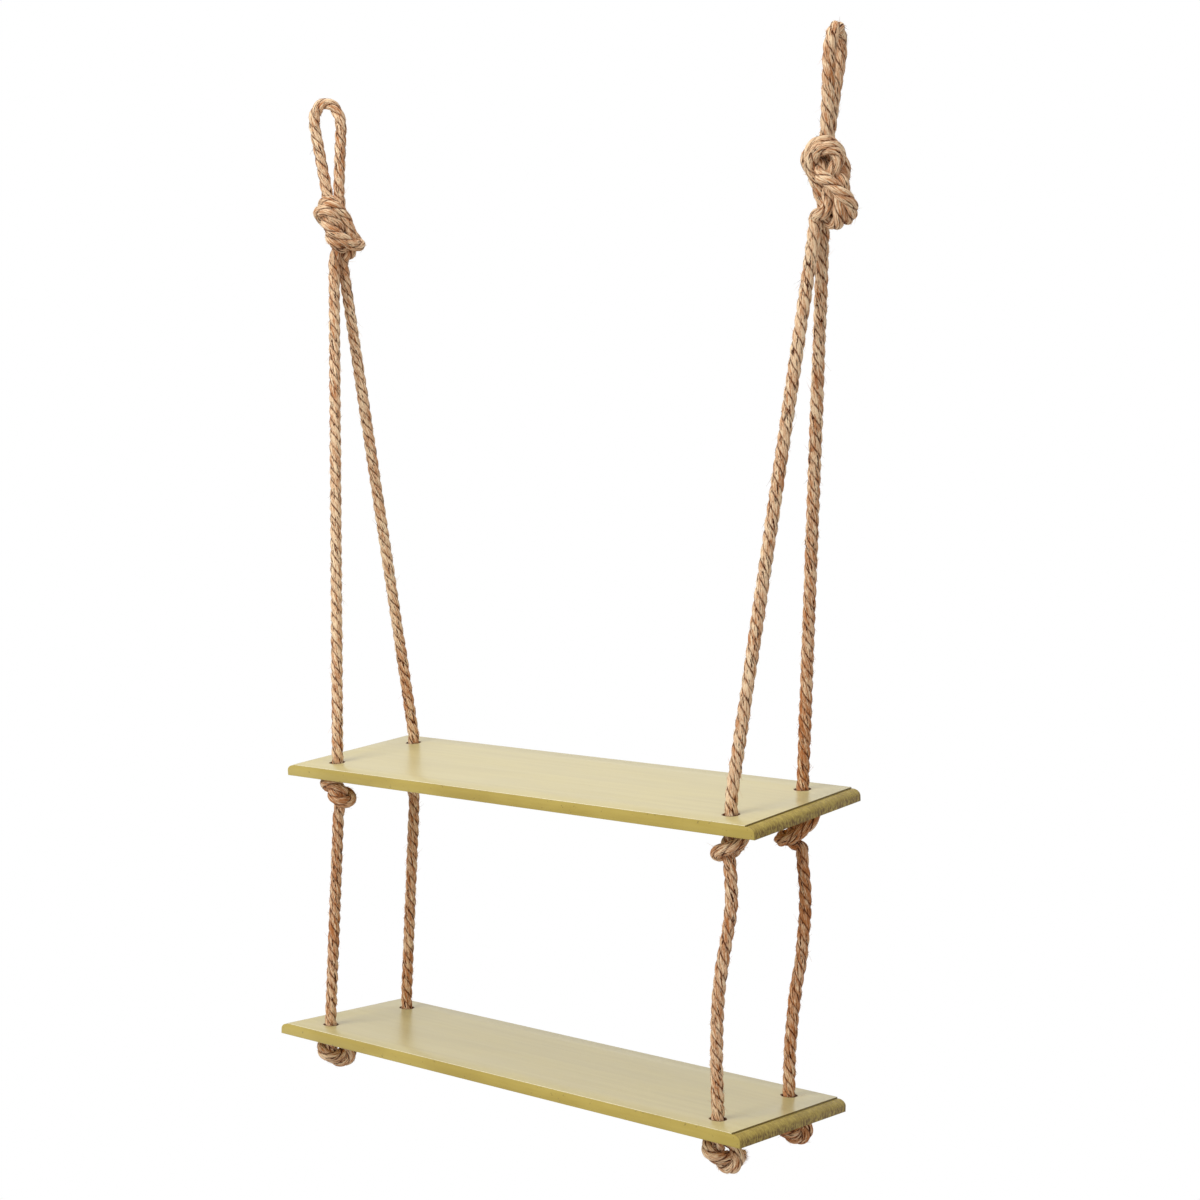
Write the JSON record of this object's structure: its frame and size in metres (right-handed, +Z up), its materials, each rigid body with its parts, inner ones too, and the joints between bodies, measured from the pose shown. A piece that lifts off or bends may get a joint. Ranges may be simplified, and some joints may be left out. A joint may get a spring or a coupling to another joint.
{
  "type": "hanging rope shelf",
  "caption": "Two painted boards with moulded ends, threaded on knotted laid ropes that end in hanging loops, so that the shelf hangs and swings from two hooks.",
  "frame": {"origin": "midway between the two places where the hanging loops bear on their hooks", "axes": "+X along the boards to the right seen from the front, +Y to the rear, +Z up"},
  "size_m": [0.7114, 0.1808, 1.0747],
  "materials": {
    "paint": "satin khaki yellow paint over wood",
    "rope": "three-strand laid natural fibre, dry and slightly hairy"
  },
  "bodies": {
    "hanging_loops": {"left_hanging_loop": "rope", "right_hanging_loop": "rope"},
    "left_knot": {"left_loop_knot": "rope"},
    "right_knot": {"right_loop_knot": "rope"},
    "left_ropes": {"left_front_upper_rope": "rope", "left_rear_upper_rope": "rope"},
    "right_ropes": {"right_front_upper_rope": "rope", "right_rear_upper_rope": "rope"},
    "upper_shelf": {"upper_board": "paint", "left_front_stopper_knot": "rope", "left_rear_stopper_knot": "rope", "right_front_stopper_knot": "rope", "right_rear_stopper_knot": "rope"},
    "front_ropes": {"left_front_lower_rope": "rope", "right_front_lower_rope": "rope"},
    "rear_ropes": {"left_rear_lower_rope": "rope", "right_rear_lower_rope": "rope"},
    "lower_shelf": {"lower_board": "paint", "left_front_end_knot": "rope", "left_rear_end_knot": "rope", "right_front_end_knot": "rope", "right_rear_end_knot": "rope"}
  },
  "joints": [
    {"name": "left_loop_swing", "type": "hinge", "parent": "hanging_loops", "child": "left_knot", "pos_m": [-0.32487, 0, -0.091], "axis": [1, 0, 0], "range_deg": [-20, 20]},
    {"name": "right_loop_swing", "type": "hinge", "parent": "hanging_loops", "child": "right_knot", "pos_m": [0.32487, 0, -0.091], "axis": [1, 0, 0], "range_deg": [-20, 20]},
    {"name": "left_rope_sway", "type": "hinge", "parent": "left_knot", "child": "left_ropes", "pos_m": [-0.31685, 0, -0.171], "axis": [0, 1, 0], "range_deg": [-7, 7]},
    {"name": "right_rope_sway", "type": "hinge", "parent": "right_knot", "child": "right_ropes", "pos_m": [0.31685, 0, -0.171], "axis": [0, 1, 0], "range_deg": [-7, 7]},
    {"name": "upper_shelf_level", "type": "hinge", "parent": "left_ropes", "child": "upper_shelf", "pos_m": [-0.263, -0.0005, -0.696], "axis": [0, 1, 0], "range_deg": [-8.75, 8.75]},
    {"name": "front_rope_swing", "type": "hinge", "parent": "upper_shelf", "child": "front_ropes", "pos_m": [0, -0.05882, -0.78131], "axis": [1, 0, 0], "range_deg": [-12, 12]},
    {"name": "rear_rope_swing", "type": "hinge", "parent": "upper_shelf", "child": "rear_ropes", "pos_m": [0, 0.05882, -0.77205], "axis": [1, 0, 0], "range_deg": [-12, 12]},
    {"name": "lower_shelf_level", "type": "hinge", "parent": "front_ropes", "child": "lower_shelf", "pos_m": [0, -0.05895, -0.994], "axis": [1, 0, 0], "range_deg": [-12, 12]}
  ],
  "couplings": [
    {"joint": "right_loop_swing", "follows": "left_loop_swing", "ratio": 1},
    {"joint": "right_rope_sway", "follows": "left_rope_sway", "ratio": 1},
    {"joint": "upper_shelf_level", "follows": "left_rope_sway", "ratio": -1.2048},
    {"joint": "rear_rope_swing", "follows": "front_rope_swing", "ratio": 0.95829},
    {"joint": "lower_shelf_level", "follows": "front_rope_swing", "ratio": -1}
  ]
}
